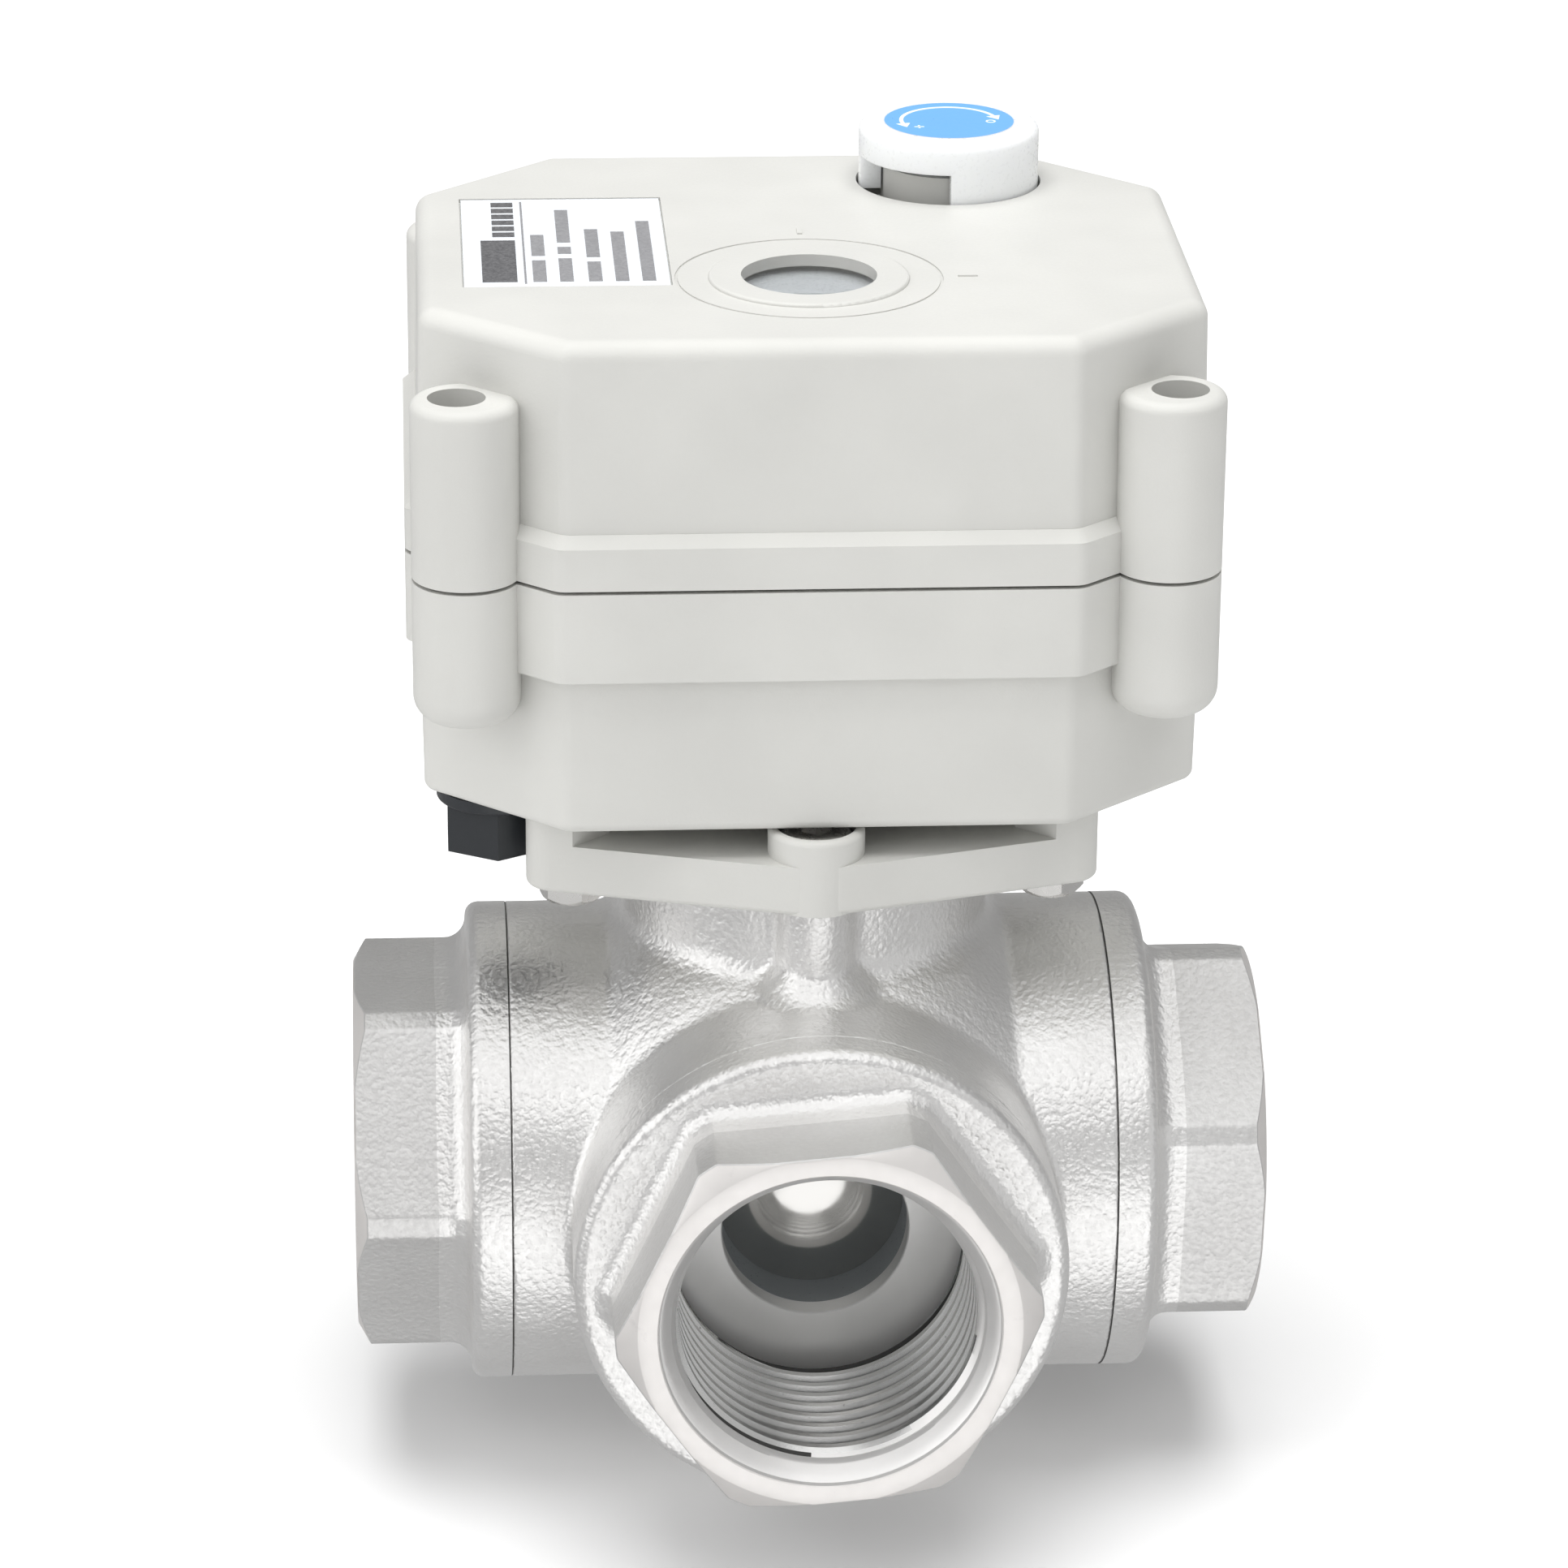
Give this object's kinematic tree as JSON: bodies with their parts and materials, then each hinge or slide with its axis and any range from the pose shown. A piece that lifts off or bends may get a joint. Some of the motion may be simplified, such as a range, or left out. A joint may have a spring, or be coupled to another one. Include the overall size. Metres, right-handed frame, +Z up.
{
  "type": "motorized valve actuator",
  "caption": "Small electric quarter-turn actuator with a manual override knob and position window, on its three-way ball valve with threaded ports.",
  "frame": {"origin": "the point where the axes of the three ports cross, which is the centre of the ball", "axes": "+X along the straight pipe run towards the right port, the branch port faces -Y, +Z up along the valve stem to the actuator"},
  "size_m": [0.0766, 0.0767, 0.1086],
  "materials": {
    "cast_steel": "sand-blasted stainless casting with machined faces",
    "polished_steel": "polished stainless steel",
    "seat_ptfe": "filled PTFE, dark slate",
    "casing_plastic": "fine-textured moulded ABS, light warm grey",
    "bracket_plastic": "moulded, light grey, smooth",
    "gasket_rubber": "matt black rubber",
    "fastener_steel": "bright stainless fasteners",
    "plate_steel": "zinc-plated sheet",
    "motor_steel": "plated drawn can",
    "rotor_steel": "ground shaft and laminations",
    "magnet_ferrite": "sintered ferrite",
    "brass_gear": "machined brass",
    "steel_gear": "sintered steel",
    "acetal_white": "white acetal",
    "knob_plastic": "translucent white",
    "sticker_blue": "printed vinyl, blue",
    "label_foil": "silver-white printed film",
    "lens_clear": "clear moulded lens",
    "black_nylon": "black nylon",
    "red_acetal": "red acetal",
    "board_green": "solder mask, green",
    "capacitor_sleeve": "shrink sleeve, dark"
  },
  "bodies": {
    "housing": {"valve_body": "cast_steel", "cap_gaskets": "seat_ptfe", "ball_seats": "seat_ptfe", "thrust_washer": "seat_ptfe", "stem_packing": "seat_ptfe", "packing_nut": "fastener_steel", "end_cap_right": "cast_steel", "end_cap_left": "cast_steel", "end_cap_front": "cast_steel", "bracket": "bracket_plastic", "bracket_bolts": "fastener_steel", "bracket_screws": "fastener_steel", "lower_casing": "casing_plastic", "top_cover": "casing_plastic", "casing_gasket": "gasket_rubber", "cover_screws": "fastener_steel", "window_lens": "lens_clear", "label_plate": "label_foil", "gland_body": "black_nylon", "gland_seal": "gasket_rubber", "gland_nut": "black_nylon", "lower_gear_plate": "plate_steel", "upper_gear_plate": "plate_steel", "spacer_pillars": "plate_steel", "pillar_screws": "fastener_steel", "gear_axles": "fastener_steel", "shaft_bushes": "brass_gear", "shaft_seal": "gasket_rubber", "switch_open": "black_nylon", "switch_closed": "black_nylon", "motor_can": "motor_steel", "motor_magnets": "magnet_ferrite", "motor_end_cap": "black_nylon", "motor_screws": "fastener_steel", "control_board": "board_green", "capacitor": "capacitor_sleeve", "terminal_block": "board_green", "knob_spring": "fastener_steel"},
    "output": {"valve_ball": "polished_steel", "valve_stem": "polished_steel", "output_shaft": "polished_steel", "output_gear": "brass_gear", "cross_pin": "fastener_steel", "cam_open": "acetal_white", "cam_closed": "acetal_white", "position_dial": "acetal_white"},
    "final_gear": {"final_gear": "steel_gear"},
    "second_gear": {"second_gear": "steel_gear"},
    "first_gear": {"first_gear": "steel_gear"},
    "motor_rotor": {"motor_rotor": "rotor_steel", "motor_pinion": "brass_gear"},
    "manual_gear": {"manual_gear": "acetal_white"},
    "plunger_open": {"plunger_open": "red_acetal"},
    "plunger_closed": {"plunger_closed": "red_acetal"},
    "knob_lift": {"spring_washer": "fastener_steel"},
    "knob": {"override_knob": "knob_plastic", "knob_sticker": "sticker_blue", "knob_shaft": "rotor_steel", "knob_clip": "fastener_steel", "knob_seal": "gasket_rubber"}
  },
  "joints": [
    {"name": "output_turn", "type": "hinge", "parent": "housing", "child": "output", "pos_m": [0, 0, 0.05], "axis": [0, 0, 1], "range_deg": [0, 90]},
    {"name": "final_gear_turn", "type": "hinge", "parent": "housing", "child": "final_gear", "pos_m": [0.00264, 0.0174, 0.05], "axis": [0, 0, 1], "range_deg": [-306.31, 0]},
    {"name": "second_gear_turn", "type": "hinge", "parent": "housing", "child": "second_gear", "pos_m": [-0.01033, 0.01268, 0.05], "axis": [0, 0, 1], "range_deg": [0, 1102.7]},
    {"name": "first_gear_turn", "type": "hinge", "parent": "housing", "child": "first_gear", "pos_m": [-0.01772, 0.02149, 0.05], "axis": [0, 0, 1], "range_deg": [-3969.73, 0]},
    {"name": "motor_turn", "type": "hinge", "parent": "housing", "child": "motor_rotor", "pos_m": [-0.00691, 0.02542, 0.054], "axis": [0, 0, 1], "range_deg": [0, 14291.01]},
    {"name": "manual_gear_turn", "type": "hinge", "parent": "housing", "child": "manual_gear", "pos_m": [0.0138, 0.0283, 0.05], "axis": [0, 0, 1], "range_deg": [0, 689.19]},
    {"name": "plunger_open_slide", "type": "slide", "parent": "housing", "child": "plunger_open", "axis": [1, 0, 0], "range_m": [0, 0.00081]},
    {"name": "plunger_closed_slide", "type": "slide", "parent": "housing", "child": "plunger_closed", "axis": [1, 0, 0], "range_m": [-0.00081, 0]},
    {"name": "knob_press", "type": "slide", "parent": "housing", "child": "knob_lift", "axis": [0, 0, -1], "range_m": [0, 0.0018], "stiffness_N_per_m": 700, "springref_m": -0.002, "deforming": ["knob_spring"]},
    {"name": "knob_turn", "type": "hinge", "parent": "knob_lift", "child": "knob", "pos_m": [0.0138, 0.0283, 0.078], "axis": [0, 0, 1], "continuous": true}
  ],
  "couplings": [
    {"joint": "final_gear_turn", "follows": "output_turn", "ratio": -3.4},
    {"joint": "second_gear_turn", "follows": "output_turn", "ratio": 12.24},
    {"joint": "first_gear_turn", "follows": "output_turn", "ratio": -44.064},
    {"joint": "motor_turn", "follows": "output_turn", "ratio": 158.63},
    {"joint": "manual_gear_turn", "follows": "output_turn", "ratio": 7.65},
    {"joint": "plunger_open_slide", "follows": "output_turn", "m_per_rad": 0.0005093},
    {"joint": "plunger_closed_slide", "follows": "output_turn", "m_per_rad": -0.0005093}
  ]
}
